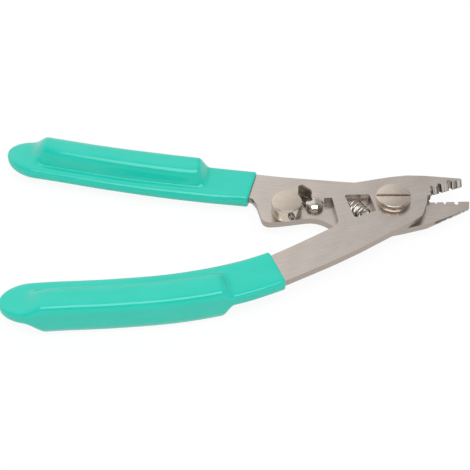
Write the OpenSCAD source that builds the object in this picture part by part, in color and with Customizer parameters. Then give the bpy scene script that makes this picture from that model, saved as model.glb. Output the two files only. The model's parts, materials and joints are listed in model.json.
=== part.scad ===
// Tri-hole fibre stripper, in millimetres: two crossing steel plates on a slotted pivot screw, a
// return spring in a window, a stop disc, a thumb lock and two moulded grips.
// Each half is drawn as it stands in the closed tool: X runs towards the jaws, Y across the
// handles, Z is the pivot axis, and the two plates meet at z = 0. The halves are then swung apart
// to the open pose and the tool is set down on its cushions, centred on its footprint.

/* [Plates] */
// Thickness of each steel plate
plate_t = 2.6; // [2.2:0.1:3]
// Film of air between the two plates
lap_gap = 0.04; // [0.02:0.01:0.1]
// Pivot axis to the straight back of the tool
back_h = 11.5; // [11:0.1:13]
// Angle that the handles close through
swing = 17; // [14:0.5:18]
// Width of the tangs inside the grips
tang_w = 12.4; // [11:0.1:13]
// How far the tangs end short of the handle tips
tang_short = 6; // [4:0.5:12]

/* [Jaws] */
// Pivot axis to the jaw tips
jaw_len = 27.4; // [26.5:0.1:30]
// Pivot axis to the throat of the jaws
throat_x = 14.2; // [13.4:0.1:14.4]
// Angle of the line from the pivot that the stripping holes lie on
hole_line = 7.1; // [6.5:0.1:7.5]
// Pivot axis to the coating hole
coating_r = 15.7; // [15.4:0.1:16]
// Diameter of the coating hole
coating_d = 0.2; // [0.15:0.01:0.3]
// Pivot axis to the buffer hole
buffer_r = 18.8; // [18.4:0.1:19.2]
// Diameter of the buffer hole
buffer_d = 0.6; // [0.4:0.05:0.8]
// Pivot axis to the jacket hole
jacket_r = 22.95; // [22.5:0.05:23.4]
// Diameter of the jacket hole
jacket_d = 1.2; // [1:0.05:1.5]
// Width of the mouth of each notch
notch_mouth = 1.9; // [1.4:0.1:2.2]
// Diameter of the widest countersink, at the outer face
sink_d = 1.7; // [1.4:0.1:2]
// Height of the front jaw at its tip
jaw_tip_h = 1.73; // [1.6:0.01:2.4]
// Width of the bevel behind each jaw edge
bevel_w = 1.45; // [1:0.05:1.8]
// Unbevelled land at each jaw edge
edge_land = 0.2; // [0.1:0.05:0.4]

/* [Pivot] */
// Diameter of the pivot shoulder
shoulder_d = 6; // [5:0.1:7]
// Diameter of the threaded end of the pivot screw
pivot_thread_d = 5; // [4:0.1:5]
// Diameter of the pivot screw's head
head_d = 12.3; // [11:0.1:14]
// Height of the pivot screw's head
head_h = 2.3; // [1.8:0.1:3]
// Chamfer round the head
head_chamfer = 0.4; // [0.3:0.1:1]
// Width of the screwdriver slot
slot_w = 1; // [0.8:0.1:1.4]
// Depth of the screwdriver slot
slot_depth = 1.1; // [0.8:0.1:1.3]
// Direction that the slot is left in
slot_turn = -4; // [-45:1:45]
// Diameter of the pivot washer
washer_d = 10; // [9.5:0.1:12]
// Thickness of the pivot washer
washer_t = 0.5; // [0.4:0.1:0.8]
// Width across the flats of the pivot nut
nut_af = 8; // [7:0.1:9]
// Height of the pivot nut
nut_h = 3.5; // [2.5:0.1:3.5]

/* [Return spring] */
// Outer diameter of the spring
spring_od = 5.8; // [5.4:0.1:6]
// Diameter of the spring wire
wire_d = 0.8; // [0.6:0.05:0.9]
// Number of coils
coils = 4.25; // [3.75:0.25:5]
// Width of the peg that the spring sits on
peg_w = 2.2; // [1.6:0.1:2.6]
// Height of the peg
peg_h = 1.6; // [1:0.1:2]

/* [Stop] */
// Diameter of the stop disc
disc_d = 10.8; // [9.8:0.1:11]
// Height of the stop disc
disc_h = 5; // [4:0.1:5.5]
// Diameter of the screw that holds the disc
disc_screw_d = 3; // [2.5:0.1:3.5]
// Head diameter of the screw that holds the disc
disc_screw_head = 5.6; // [5:0.1:6.5]
// Diameter of the stop screw
stop_d = 2.3; // [2:0.1:2.5]
// Length of the stop screw
stop_len = 3.6; // [3.2:0.1:4]
// How far the stop screw can be turned in
stop_travel = 0.6; // [0.3:0.1:0.8]

/* [Lock] */
// Thickness of the lever's sheet
sheet_t = 0.8; // [0.6:0.1:1]
// Diameter of the lever's hub
hub_d = 6; // [5.6:0.1:6.2]
// Reach of the lever from the rivet
lever_len = 7.7; // [7.4:0.1:7.9]
// Rivet axis to the outer face of the thumb tab
tab_offset = 2.5; // [2.4:0.1:2.7]
// Height of the thumb tab
tab_h = 4.6; // [3:0.1:5]
// Length of the thumb tab
tab_len = 5.1; // [3.5:0.1:5.2]
// Diameter of the lock rivet
rivet_d = 3.2; // [2.8:0.1:3.4]
// Diameter of the rivet's domed head
rivet_head_d = 6.2; // [5.6:0.1:6.4]
// Thickness of the washer under the lever
lever_washer_t = 0.3; // [0.2:0.1:0.5]
// Angle that the lever turns through
lever_turn = 75; // [68:1:75]

/* [Grips] */
// Pivot axis to the tip of the lower handle
lower_len = 141; // [136:0.2:146]
// Pivot axis to the tip of the upper handle
upper_len = 142.6; // [136:0.2:146]
// Pivot axis to the collar of the lower grip
lower_collar_x = 48; // [47:0.1:52]
// Pivot axis to the collar of the upper grip
upper_collar_x = 50.4; // [50:0.1:54]
// Angle that the collars lean at, outer side forwards
collar_lean = 9; // [0:1:12]
// Width of the outer part of the lower grip's sleeve, from the middle line
lower_outer_w = 7.6; // [7.2:0.1:8]
// Width of the inner part of the lower grip's sleeve, from the middle line
lower_inner_w = 7.9; // [7.4:0.1:8.2]
// Width of the outer part of the upper grip's sleeve, from the middle line
upper_outer_w = 7.1; // [6.9:0.1:7.8]
// Width of the inner part of the upper grip's sleeve, from the middle line
upper_inner_w = 8.1; // [7.6:0.1:8.4]
// How much wider each part of the upper sleeve is at its tip
upper_widening = 0.5; // [0:0.1:0.8]
// Thickness of the grip sleeves
sleeve_t = 5.2; // [4.6:0.1:6]
// Thickness of the cushions
cushion_t = 13.28; // [12.5:0.02:14]
// Width of the rounded edge on the inner side of each cushion
cushion_inset = 4.1; // [3:0.1:4.6]
// Width of the sloping inner side of each cushion
cushion_slope = 2.3; // [1.8:0.1:3]
// How far the outer side of the lower cushion leans inwards
lower_draft = 1.6; // [0.8:0.1:2.4]
// How far the outer side of the upper cushion leans inwards, at the front
upper_draft = 1.8; // [0.8:0.1:2.4]
// How much more the upper cushion leans inwards at its tip
upper_taper = 1.4; // [0:0.1:1.6]
// Pivot axis to the full height of the lower cushion, at the front
lower_front_x = 69; // [67:0.5:76]
// Pivot axis to the full height of the upper cushion, at the front
upper_front_x = 70.5; // [68:0.5:76]
// Pivot axis to the full height of the cushions, at the back
cushion_back_x = 127; // [120:0.5:128]
// Length of the ramp at the front of each cushion
ramp_len = 4; // [3:0.5:8]
// Length of the ramp at the back of each cushion
back_ramp_len = 7; // [4:0.5:9]
// Length of the rounded nose of each grip
nose_len = 12; // [9:0.5:13]

/* [Fits] */
// Radial clearance of turning fits
run_gap = 0.05; // [0.02:0.01:0.08]
// Axial clearance under heads
head_gap = 0.03; // [0.02:0.01:0.08]
// Clearance of screws and rivets in their holes
hole_gap = 0.1; // [0.05:0.01:0.2]

/* [Hidden] */

steel = [0.75, 0.73, 0.70];
nickel = [0.69, 0.66, 0.60];
dark_steel = [0.45, 0.44, 0.43];
turquoise = [0.16, 0.76, 0.68];

// Levels of the stack, measured from the lap plane
front_z = lap_gap / 2;
rear_z = -lap_gap / 2;
front_top = front_z + plate_t;
rear_bottom = rear_z - plate_t;
lever_z = rear_z + lever_washer_t + head_gap;
rivet_head_z = lever_z + sheet_t + head_gap;
rivet_rim_t = 0.45;
rivet_dome_h = 1.2;
stop_z = rear_z + disc_h / 2;
nut_bottom = rear_bottom - washer_t - nut_h;
rest_z = max(cushion_t / 2, -nut_bottom);

// Fixed points of the mechanism, in the closed tool
disc_at = [-37.6, -5.8];
rivet_at = [-27.74, -2.81];
peg_at = [-11.8, -4.62];
stop_turn = -69;
bearing_gap = 0.02;
lever_park = 153;
lever_lock = lever_park - lever_turn;

// Rounded outlines: each corner is [x, y, radius], and its arc turns in steps of arc_step
arc_step = 12;
function unit(v) = v / norm(v);
function turn_of(a, b) = atan2(a[0] * b[1] - a[1] * b[0], a * b);
function corner_arc(before, at, after) =
    let (u = unit([before[0] - at[0], before[1] - at[1]]),
         v = unit([after[0] - at[0], after[1] - at[1]]),
         turn = turn_of(-u, v), radius = at[2], here = [at[0], at[1]])
    radius == 0 || abs(turn) < 0.5 ? [here] :
    let (reach = radius * tan(abs(turn) / 2),
         start = here + reach * u,
         side = turn > 0 ? 1 : -1,
         centre = start + side * radius * [u[1], -u[0]],
         steps = max(1, ceil(abs(turn) / arc_step)),
         from = atan2(start[1] - centre[1], start[0] - centre[0]))
    [for (i = [0:steps]) centre + radius * [cos(from + turn * i / steps), sin(from + turn * i / steps)]];
function rounded(corners) =
    let (n = len(corners))
    [for (i = [0:n - 1]) each corner_arc(corners[(i + n - 1) % n], corners[i], corners[(i + 1) % n])];
function turned(p, angle) =
    [p[0] * cos(angle) - p[1] * sin(angle), p[0] * sin(angle) + p[1] * cos(angle), p[2]];

// Smooth curve y(x) through a few stations [x, y]
function slope_at(s, i) =
    let (a = max(i - 1, 0), b = min(i + 1, len(s) - 1)) (s[b][1] - s[a][1]) / (s[b][0] - s[a][0]);
function curve_y(s, x, i = 0) =
    i < len(s) - 2 && x < s[i + 1][0] ? curve_y(s, x, i + 1) :
    let (w = s[i + 1][0] - s[i][0], t = (x - s[i][0]) / w,
         a = slope_at(s, i) * w, b = slope_at(s, i + 1) * w, rise = s[i + 1][1] - s[i][1])
    s[i][1] + a * t + (3 * rise - 2 * a - b) * t * t + (a + b - 2 * rise) * t * t * t;

// Middle line of each handle, from its collar to its tip
lower_line = [[-44, -22], [-62, -25.3], [-82, -25.8], [-104, -23.5], [-124, -20.3], [-lower_len, -18.2]];
upper_line = [[-44, 5.7], [-62, 6.8], [-82, 8.5], [-104, 11.3], [-124, 14.5], [-upper_len, 17.2]];
function tip_of(line) = line[len(line) - 1][0];

// What differs between the grips, under the names below: the middle line, the side that faces
// outwards, the collar, the middle of the plate, the widths of the sleeve's outer and inner parts
// and their widening, the outer side's draft and its growth, and the front of the cushion
LINE = 0; SIDE = 1; FROM = 2; MID = 3; OUTER = 4; INNER = 5; WIDENING = 6; DRAFT = 7; TAPER = 8; FRONT = 9;
lower = [lower_line, -1, -lower_collar_x, front_z + plate_t / 2, lower_outer_w, lower_inner_w, 0,
    lower_draft, 0, lower_front_x];
upper = [upper_line, 1, -upper_collar_x, rear_bottom + plate_t / 2, upper_outer_w, upper_inner_w,
    upper_widening, upper_draft, upper_taper, upper_front_x];

// Tang edges: the middle line moved sideways, with a round end
function tang_end(line) = tip_of(line) + tang_short;
tang_r = tang_w / 2;
tang_steps = 8;
function tang_edge(line, from_x, side) =
    [for (i = [0:tang_steps])
        let (x = from_x + (tang_end(line) + 1.4 * tang_r - from_x) * i / tang_steps)
        [x, curve_y(line, x) + side * tang_r, 0]];
function backwards(list) = [for (i = [len(list) - 1:-1:0]) list[i]];
function tang(line, from_x, to_x) = concat(
    tang_edge(line, from_x, 1),
    [for (side = [1, -1]) [tang_end(line), curve_y(line, tang_end(line)) + side * tang_r, 0.9 * tang_r]],
    backwards(tang_edge(line, to_x, -1)));

// Jaw edges, by how far they reach past the line of the holes
function hole_y(x) = x * tan(hole_line);
front_edge_root = [throat_x, hole_y(throat_x) - 0.4];
front_edge_tip = [jaw_len, hole_y(jaw_len) - 0.05];
rear_edge_root = [throat_x - 0.9, hole_y(throat_x - 0.9) + 0.75];
rear_edge_tip = [jaw_len, hole_y(jaw_len) + 0.55];
holes = [[coating_r, coating_d], [buffer_r, buffer_d], [jacket_r, jacket_d]];

// Front plate: upper jaw, back, catch tooth, lower handle
back_bend = [8.8, back_h, 38];
tooth_tip = [-23.8, 6.33, 0.2];
tooth_root = [-20.9, 5.85, 0.4];
front_outline = rounded(concat(
    [[front_edge_tip[0], front_edge_tip[1], 0.5],
     [jaw_len, front_edge_tip[1] + jaw_tip_h, 1],
     back_bend,
     [-19.2, back_h, 1.5], tooth_tip, tooth_root,
     [-21.5, -2.5, 20], [-21.9, -6.3, 0.8], [-24.8, -8.4, 2], [-40, -13.8, 60]],
    tang(lower_line, -lower_collar_x - 2, -lower_collar_x - 2),
    [[-46.2, -28.7, 20], [-29, -23.7, 80], [-18, -19.9, 0], [7.6, -9.8, 3.5], [11.6, -3.4, 6],
     [12.4, -0.5, 0.8], [throat_x - 0.1, -0.4, 0.4], [front_edge_root[0], front_edge_root[1], 0]]));

// Rear plate: lower jaw, belly with the lock and the stop, upper handle
rear_outline = rounded(concat(
    [[rear_edge_tip[0], rear_edge_tip[1], 0.4], [rear_edge_root[0], rear_edge_root[1], 0],
     [12, 7, 2], [7, back_h - 1, 5], [-16, back_h - 0.9, 0], [-40, back_h - 0.1, 0]],
    tang(upper_line, -upper_collar_x - 2, -upper_collar_x - 2),
    [[-50.2, -0.3, 2], [-48.3, -3.2, 6], [-45.4, -12.3, 3], [-40, -11.5, 12], [-26.8, -8.2, 9],
     [-18, -13.8, 2], [-2, -13.6, 3], [4.4, -11.4, 0], [14.6, -7.3, 0], [22.3, -2.8, 0],
     [jaw_len - 0.2, 0.4, 1]]));

// Windows: the rear one has room round the spring, and ends nearer to it on the right
window_corners = [[-16.2, 6.3, 0.8], [-15.8, -5.5, 0.8], [-7.4, -3.8, 0.8], [-7.5, 4.6, 0.8]];
window_room = 0.5;
window_close = -0.9;
seat_step = 0.7;
rear_window_corners = [for (i = [0:3])
    let (c = window_corners[i], left = i < 2, top = i == 0 || i == 3)
    turned([c[0] + (left ? -window_room : window_close), c[1] - (top ? seat_step : window_room), c[2]],
           swing)];

// Ground relief under the lower jaw: a leaning plane that takes more away towards the tip
relief_at = [14.5, -6.69];
relief_turn = 34.2;
relief_roll = 27.3;

// Where the inner edge of the front plate stands when the tool is closed
inner_edge_a = [-24.8, -8.4];
inner_edge_b = [-40, -13.8];
inner_edge_dir = unit(inner_edge_b - inner_edge_a);
stop_dir = [cos(stop_turn), sin(stop_turn)];
function cross2(a, b) = a[0] * b[1] - a[1] * b[0];
stop_reach = cross2(inner_edge_a - disc_at, inner_edge_dir) / cross2(stop_dir, inner_edge_dir)
    - stop_d / 2 * abs(stop_dir * inner_edge_dir) - bearing_gap;

// Open pose: half of the swing each way, then the tool is set down and centred
function opened_front(p) = turned([p[0], p[1], 0], swing / 2);
function opened_rear(p) = turned([p[0], p[1], 0], -swing / 2);
function grip_edge(g) =
    [for (i = [0:40]) let (x = g[FROM] + (tip_of(g[LINE]) - g[FROM]) * i / 40)
        [x, curve_y(g[LINE], x) + g[SIDE] * (g[OUTER] + widened(g, x)) * nose_scale(g, x)]];
footprint = concat(
    [for (p = grip_edge(lower)) opened_front(p)],
    [for (p = grip_edge(upper)) opened_rear(p)],
    [for (p = front_outline) opened_front(p)],
    [for (p = rear_outline) opened_rear(p)]);
function middle(list, k) =
    let (all = [for (p = list) p[k]]) (max(all) + min(all)) / 2;
centre = [middle(footprint, 0), middle(footprint, 1)];

module placed() translate([-centre[0], -centre[1], rest_z]) children();
module on_front() placed() rotate(swing / 2) children();
module on_rear() placed() rotate(-swing / 2) children();

// Outline of one notch: round at the hole, flared towards its mouth on the +Y side
function notch_outline(r) =
    let (mouth = notch_mouth / 2 + r / 4, reach = 3, steps = 12)
    concat([for (i = [0:steps]) let (a = 180 + 180 * i / steps) [r * cos(a), r * sin(a)]],
        [[mouth, reach / 2], [mouth, reach], [-mouth, reach], [-mouth, reach / 2]]);

// One notch and its countersink, leaning with the bevel. up is 1 for the front jaw, whose mouths
// open downwards, and -1 for the rear one.
module notch(hole, up) {
    r = hole[1] / 2;
    deep = plate_t + lap_gap;
    sink_r = sink_d / 2 - (jacket_d - hole[1]) * 0.42;
    translate([hole[0] * cos(hole_line), hole[0] * sin(hole_line), 0]) rotate(hole_line)
        rotate([-atan(bevel_w / plate_t), 0, 0]) rotate([up > 0 ? 0 : 180, 0, 0]) {
            translate([0, 0, -1]) rotate(180) linear_extrude(deep + 3) polygon(notch_outline(r));
            translate([0, 0, edge_land]) cylinder(h = deep + 1, r1 = r + 0.08,
                r2 = r + 0.08 + (sink_r - r) * (deep + 1) / deep, $fn = 32);
        }
}

// Wedge that bevels a jaw edge from its outer face down to the land, starting in the coating hole
module bevel(root, tip, up) {
    dir = unit(tip - root);
    start = root + (coating_r * cos(hole_line) - root[0]) / dir[0] * dir;
    land = up * (lap_gap / 2 + edge_land);
    face = up * (lap_gap / 2 + plate_t);
    slope = up * bevel_w / (plate_t - edge_land);
    translate([start[0], start[1], 0]) rotate([90, 0, atan2(dir[1], dir[0]) + 90])
        linear_extrude(jaw_len)
            polygon([[-0.03 * up, land], [slope * (plate_t - edge_land + 1), face + up],
                     [-4 * up, face + up], [-4 * up, land]]);
}

module front_blank() translate([0, 0, front_z]) linear_extrude(plate_t) polygon(front_outline);
module rear_blank() translate([0, 0, rear_bottom]) linear_extrude(plate_t) polygon(rear_outline);

module front_frame() {
    seat_turn = atan2(window_corners[2][1] - window_corners[1][1],
                      window_corners[2][0] - window_corners[1][0]);
    color(steel) on_front() {
        difference() {
            front_blank();
            translate([0, 0, front_z - 1]) cylinder(h = plate_t + 2, d = shoulder_d + 2 * run_gap, $fn = 48);
            translate([0, 0, front_z - 1]) linear_extrude(plate_t + 2) difference() {
                polygon(rounded(window_corners));
                translate([peg_at[0], peg_at[1]]) rotate(seat_turn) translate([-peg_w / 2, -2])
                    square([peg_w, peg_h + 2]);
            }
            bevel(front_edge_root, front_edge_tip, 1);
            for (hole = holes) notch(hole, 1);
        }
    }
}

module rear_frame() {
    sink = (disc_screw_head - disc_screw_d) / 2;
    color(steel) on_rear() difference() {
        rear_blank();
        translate([0, 0, rear_bottom - 1]) cylinder(h = plate_t + 2, d = shoulder_d + 2 * run_gap, $fn = 48);
        translate([0, 0, rear_bottom - 1]) linear_extrude(plate_t + 2) polygon(rounded(rear_window_corners));
        translate([disc_at[0], disc_at[1], rear_bottom - 1])
            cylinder(h = plate_t + 2, d = disc_screw_d + hole_gap, $fn = 32);
        translate([disc_at[0], disc_at[1], rear_bottom])
            cylinder(h = sink, d1 = disc_screw_head + hole_gap, d2 = disc_screw_d + hole_gap, $fn = 32);
        translate([rivet_at[0], rivet_at[1], rear_bottom - 1])
            cylinder(h = plate_t + 2, d = rivet_d + hole_gap, $fn = 32);
        bevel(rear_edge_root, rear_edge_tip, -1);
        for (hole = holes) notch(hole, -1);
        translate([relief_at[0], relief_at[1], rear_bottom]) rotate(relief_turn) rotate([relief_roll, 0, 0])
            translate([-10, -10, -6]) cube([40, 10, 20]);
    }
}

module pivot_screw() color(nickel) placed() {
    under_head = front_top + head_gap;
    end = nut_bottom + 0.4;
    difference() {
        rotate_extrude($fn = 64) polygon([
            [0, end], [pivot_thread_d / 2 - 0.4, end], [pivot_thread_d / 2, end + 0.4],
            [pivot_thread_d / 2, rear_bottom], [shoulder_d / 2, rear_bottom],
            [shoulder_d / 2, under_head], [head_d / 2, under_head],
            [head_d / 2, under_head + head_h - head_chamfer],
            [head_d / 2 - head_chamfer, under_head + head_h], [0, under_head + head_h]]);
        rotate(slot_turn) translate([-head_d, -slot_w / 2, under_head + head_h - slot_depth])
            cube([2 * head_d, slot_w, head_h]);
    }
}

module pivot_washer() color(nickel) placed() translate([0, 0, rear_bottom - washer_t]) difference() {
    cylinder(h = washer_t, d = washer_d, $fn = 48);
    translate([0, 0, -1]) cylinder(h = washer_t + 2, d = pivot_thread_d + hole_gap, $fn = 48);
}

module pivot_nut() color(nickel) placed() translate([0, 0, nut_bottom]) difference() {
    intersection() {
        cylinder(h = nut_h, d = nut_af / cos(30), $fn = 6);
        rotate_extrude($fn = 48) polygon([[0, 0], [nut_af / 2 - 0.1, 0],
            [nut_af / 2 + 0.7, 0.5], [nut_af / 2 + 0.7, nut_h], [0, nut_h]]);
    }
    translate([0, 0, -1]) cylinder(h = nut_h + 2, d = pivot_thread_d + 0.04, $fn = 48);
}

// Spring: a tube of spring_sides sides carried along a helix whose end coils lie closed. It runs
// from the middle of the front plate, round the peg, to the middle of the rear plate.
spring_sides = 8;
spring_steps = 20;
spring_phase = 60;
spring_base = [peg_at[0], peg_at[1] + 0.45, front_z + plate_t / 2];
spring_top = [-13.35, 3.8, rear_z - plate_t / 2];
spring_axis = spring_top - spring_base;
spring_len = norm(spring_axis);
function helix(t) =
    let (r = (spring_od - wire_d) / 2, closed = 0.75, full = coils * 360,
         lead = t < closed ? wire_d * 1.05 * t :
                t > coils - closed ? spring_len - wire_d - wire_d * 1.05 * (coils - t) :
                wire_d * 1.05 * closed + (spring_len - wire_d - 2.1 * wire_d * closed)
                    * (t - closed) / (coils - 2 * closed))
    [r * cos(360 * t), r * sin(360 * t), wire_d / 2 + lead];
function tube_ring(p, along, across, r, n) =
    let (side = unit(cross(along, across)), up = cross(side, along))
    [for (k = [0:n - 1]) p + r * (cos(360 * k / n) * side + sin(360 * k / n) * up)];
function tube_faces(rings, n) = concat(
    [[for (k = [0:n - 1]) k]],
    [for (i = [0:rings - 2], k = [0:n - 1])
        [i * n + k, (i + 1) * n + k, (i + 1) * n + (k + 1) % n, i * n + (k + 1) % n]],
    [[for (k = [n - 1:-1:0]) (rings - 1) * n + k]]);

module return_spring() {
    count = ceil(coils * spring_steps);
    rings = [for (i = [0:count])
        let (t = coils * i / count, d = 0.01,
             along = unit(helix(t + d) - helix(t - d)))
        tube_ring(helix(t), along, [0, 0, 1], wire_d / 2, spring_sides)];
    color(dark_steel) on_front() translate(spring_base)
        rotate([0, acos(spring_axis[2] / spring_len), atan2(spring_axis[1], spring_axis[0])])
            rotate(spring_phase) polyhedron(
                points = [for (ring = rings) each ring],
                faces = [for (f = tube_faces(len(rings), spring_sides)) backwards(f)]);
}

module stop_disc() color(nickel) on_rear() translate([disc_at[0], disc_at[1], rear_z]) difference() {
    rotate_extrude($fn = 64) polygon([[0, 0], [disc_d / 2, 0], [disc_d / 2, disc_h - 0.2],
        [disc_d / 2 - 0.2, disc_h], [0, disc_h]]);
    translate([0, 0, -1]) cylinder(h = disc_h - 1.2 + 1, d = disc_screw_d + 0.04, $fn = 32);
    translate([0, 0, disc_h / 2]) rotate([0, 90, stop_turn])
        translate([0, 0, stop_reach - stop_len - stop_travel - 0.1])
            cylinder(h = disc_d, d = stop_d + 2 * run_gap, $fn = 32);
}

module stop_disc_screw() {
    sink = (disc_screw_head - disc_screw_d) / 2;
    end = disc_h - 1.6;
    color(nickel) on_rear() translate([disc_at[0], disc_at[1], 0]) difference() {
        rotate_extrude($fn = 32) polygon([[0, rear_bottom], [disc_screw_head / 2, rear_bottom],
            [disc_screw_d / 2, rear_bottom + sink], [disc_screw_d / 2, rear_z + end - 0.3],
            [disc_screw_d / 2 - 0.3, rear_z + end], [0, rear_z + end]]);
        for (a = [0, 90]) rotate(a) translate([-1.4, -0.25, rear_bottom - 1]) cube([2.8, 0.5, 1.9]);
    }
}

module stop_screw() color(dark_steel) on_rear() translate([disc_at[0], disc_at[1], stop_z])
    rotate([0, 90, stop_turn]) translate([0, 0, stop_reach - stop_len]) difference() {
        rotate_extrude($fn = 32) polygon([[0, 0], [stop_d / 2 - 0.3, 0], [stop_d / 2, 0.3],
            [stop_d / 2, stop_len - 0.2], [stop_d / 2 - 0.2, stop_len], [0, stop_len]]);
        for (a = [45, 135]) rotate(a) translate([-0.7, -0.17, stop_len - 0.6]) cube([1.4, 0.34, 1]);
    }

// Lever, drawn with its reach along +X and the tab on its right-hand side
module lever_shape() {
    inner = tab_offset - sheet_t;
    bend_r = sheet_t + 0.2;
    tab_top = sheet_t + tab_h;
    difference() {
        union() {
            cylinder(h = sheet_t, d = hub_d, $fn = 48);
            linear_extrude(sheet_t) polygon(rounded([
                [0, -inner - 0.3, 0], [lever_len - tab_len, -inner - 0.3, 0], [lever_len, -inner - 0.3, 0],
                [lever_len, -inner + 0.7, 0.4], [3.6, 1.3, 2], [0, hub_d / 2 - 0.1, 0]]));
            intersection() {
                translate([lever_len, 0, 0]) rotate([90, 0, -90]) linear_extrude(tab_len)
                    polygon(rounded([[inner - 0.6, 0, 0], [tab_offset, 0, bend_r],
                        [tab_offset, tab_top, 0.2], [inner, tab_top, 0.2], [inner, sheet_t, 0.2],
                        [inner - 0.6, sheet_t, 0]]));
                translate([0, 0, 0]) rotate([90, 0, 0]) linear_extrude(2 * tab_offset)
                    polygon(rounded([[lever_len - tab_len, -1, 0], [lever_len, -1, 0],
                        [lever_len, tab_top, 1], [lever_len - tab_len, tab_top - 1, 1.2]]));
            }
        }
        translate([0, 0, -1]) cylinder(h = sheet_t + 2, d = rivet_d + 2 * run_gap, $fn = 48);
    }
}

module lock_lever() color(nickel) on_rear() translate([rivet_at[0], rivet_at[1], lever_z])
    rotate(lever_park) lever_shape();

module lock_rivet() {
    tail_d = rivet_d + 1.4;
    tail_h = 0.6;
    sphere_r = (pow(rivet_head_d / 2, 2) + pow(rivet_dome_h, 2)) / (2 * rivet_dome_h);
    rim = rivet_head_z + rivet_rim_t;
    dome_steps = 6;
    dome_half = asin(rivet_head_d / 2 / sphere_r);
    color(nickel) on_rear() translate([rivet_at[0], rivet_at[1], 0]) rotate_extrude($fn = 48)
        polygon(concat(
            [[0, rear_bottom - tail_h], [tail_d / 2 - 0.3, rear_bottom - tail_h],
             [tail_d / 2, rear_bottom - tail_h + 0.3], [tail_d / 2, rear_bottom],
             [rivet_d / 2, rear_bottom], [rivet_d / 2, rivet_head_z], [rivet_head_d / 2, rivet_head_z]],
            [for (i = [0:dome_steps])
                let (a = dome_half * (1 - i / dome_steps))
                [sphere_r * sin(a), rim + rivet_dome_h - sphere_r + sphere_r * cos(a)]]));
}

module lever_washer() color(nickel) on_rear() translate([rivet_at[0], rivet_at[1], rear_z])
    difference() {
        cylinder(h = lever_washer_t, d = hub_d, $fn = 48);
        translate([0, 0, -1]) cylinder(h = lever_washer_t + 2, d = rivet_d + hole_gap, $fn = 48);
    }

// Grip section: flat sleeve with the cushion standing on its outer part. o is measured outwards
// from the middle line. Each corner is [o, z, reach before, reach after] and is rounded by a short
// curve; a reach below zero is a share of the side beside it.
section_points = 3;
function reach_of(r, side) = r < 0 ? -r * side : min(r, 0.45 * side);
function bent_corner(before, at, after) =
    let (here = [at[0], at[1]],
         u = [before[0], before[1]] - here, v = [after[0], after[1]] - here,
         a = here + unit(u) * reach_of(at[2], norm(u)),
         b = here + unit(v) * reach_of(at[3], norm(v)))
    [for (i = [0:section_points - 1])
        let (t = i / (section_points - 1)) (1 - t) * (1 - t) * a + 2 * t * (1 - t) * here + t * t * b];
function smooth(t) = let (c = min(1, max(0, t))) c * c * (3 - 2 * c);
function widened(g, x) = g[WIDENING] * (g[FROM] - x) / (g[FROM] - tip_of(g[LINE]));
function nose_scale(g, x) =
    let (t = (tip_of(g[LINE]) + nose_len - x) / nose_len) t <= 0 ? 1 : sqrt(max(0.02, 1 - t * t));
function from_front(g, x) = ramp_len - x - g[FRONT];
function from_back(x) = x + cushion_back_x + back_ramp_len;
function cushion_rise(g, x) =
    smooth(from_front(g, x) / ramp_len) * smooth(from_back(x) / back_ramp_len);
// The inner edge is rounded more behind the collar, and stands out more to make up for it
function edge_growth(g, x) = 0.5 * smooth((g[FROM] - x) / 16);
// How much the inner corners of the cushion are rounded off in plan, near its ends
function held(t) = min(1, max(0, 1 - t));
function corner_cut(g, x) = 3.2 * pow(held(from_front(g, x) / 8), 2) + 4.2 * pow(held(from_back(x) / 15), 2);
function grip_section(g, x) =
    let (k = nose_scale(g, x), w = (g[OUTER] + widened(g, x)) * k, h = sleeve_t / 2 * (0.4 + 0.6 * k),
         rise = cushion_rise(g, x), full = cushion_t / 2, high = g[MID] + h, low = g[MID] - h,
         top = high + (full - high) * rise, bottom = low - (full + low) * rise,
         edge = -(g[INNER] + widened(g, x) + edge_growth(g, x)) * k,
         base = edge + cushion_inset * (0.5 + edge_growth(g, x)) * k,
         rim = base + (cushion_slope + corner_cut(g, x)) * k,
         draft = g[DRAFT] + g[TAPER] * smooth((-x - g[FRONT]) / (cushion_back_x - g[FRONT])),
         shoulder = w - draft * k, flank = 0.7 - 0.3 * rise,
         corners = [[edge, high, -0.45, -0.86], [base, high, -0.1, 1], [rim, top, 1.8, 2.2],
                    [shoulder, top, 2.4, 2.4], [w, (high + top) / 2 - flank, 2, 2],
                    [w, (low + bottom) / 2 + flank, 2, 2], [shoulder, bottom, 2.4, 2.4],
                    [rim, bottom, 2.2, 1.8], [base, low, 1, -0.1], [edge, low, -0.86, -0.45]],
         n = len(corners))
    [for (i = [0:n - 1]) each bent_corner(corners[(i + n - 1) % n], corners[i], corners[(i + 1) % n])];

// The loft starts this far in front of the collar, which a leaning cut then makes
lead_in = 2.5;
function grip_stations(g) =
    let (first = g[FROM] + lead_in, ramp = ramp_len - g[FRONT], back = -cushion_back_x - back_ramp_len,
         tip = tip_of(g[LINE]))
    concat([for (i = [0:4]) first + (ramp - first) * i / 4],
        [for (i = [1:6]) ramp - ramp_len * i / 6],
        [for (i = [1:7]) -g[FRONT] - (cushion_back_x - g[FRONT]) * i / 7],
        [for (i = [1:5]) -cushion_back_x - back_ramp_len * i / 5],
        [for (i = [2:7]) back + (tip - back) * sin(90 * i / 7)]);

module grip(g) {
    rings = [for (x = grip_stations(g)) let (y = curve_y(g[LINE], x))
        [for (p = grip_section(g, x)) [x, y + g[SIDE] * p[0], p[1]]]];
    faces = tube_faces(len(rings), len(rings[0]));
    difference() {
        polyhedron(points = [for (ring = rings) each ring],
            faces = g[SIDE] < 0 ? [for (f = faces) backwards(f)] : faces);
        translate([g[FROM], curve_y(g[LINE], g[FROM]), -cushion_t]) rotate(-g[SIDE] * collar_lean)
            translate([0, -20, 0]) cube([20, 40, 2 * cushion_t]);
    }
}

module upper_grip() color(turquoise) on_rear() difference() {
    grip(upper);
    rear_blank();
}

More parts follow.
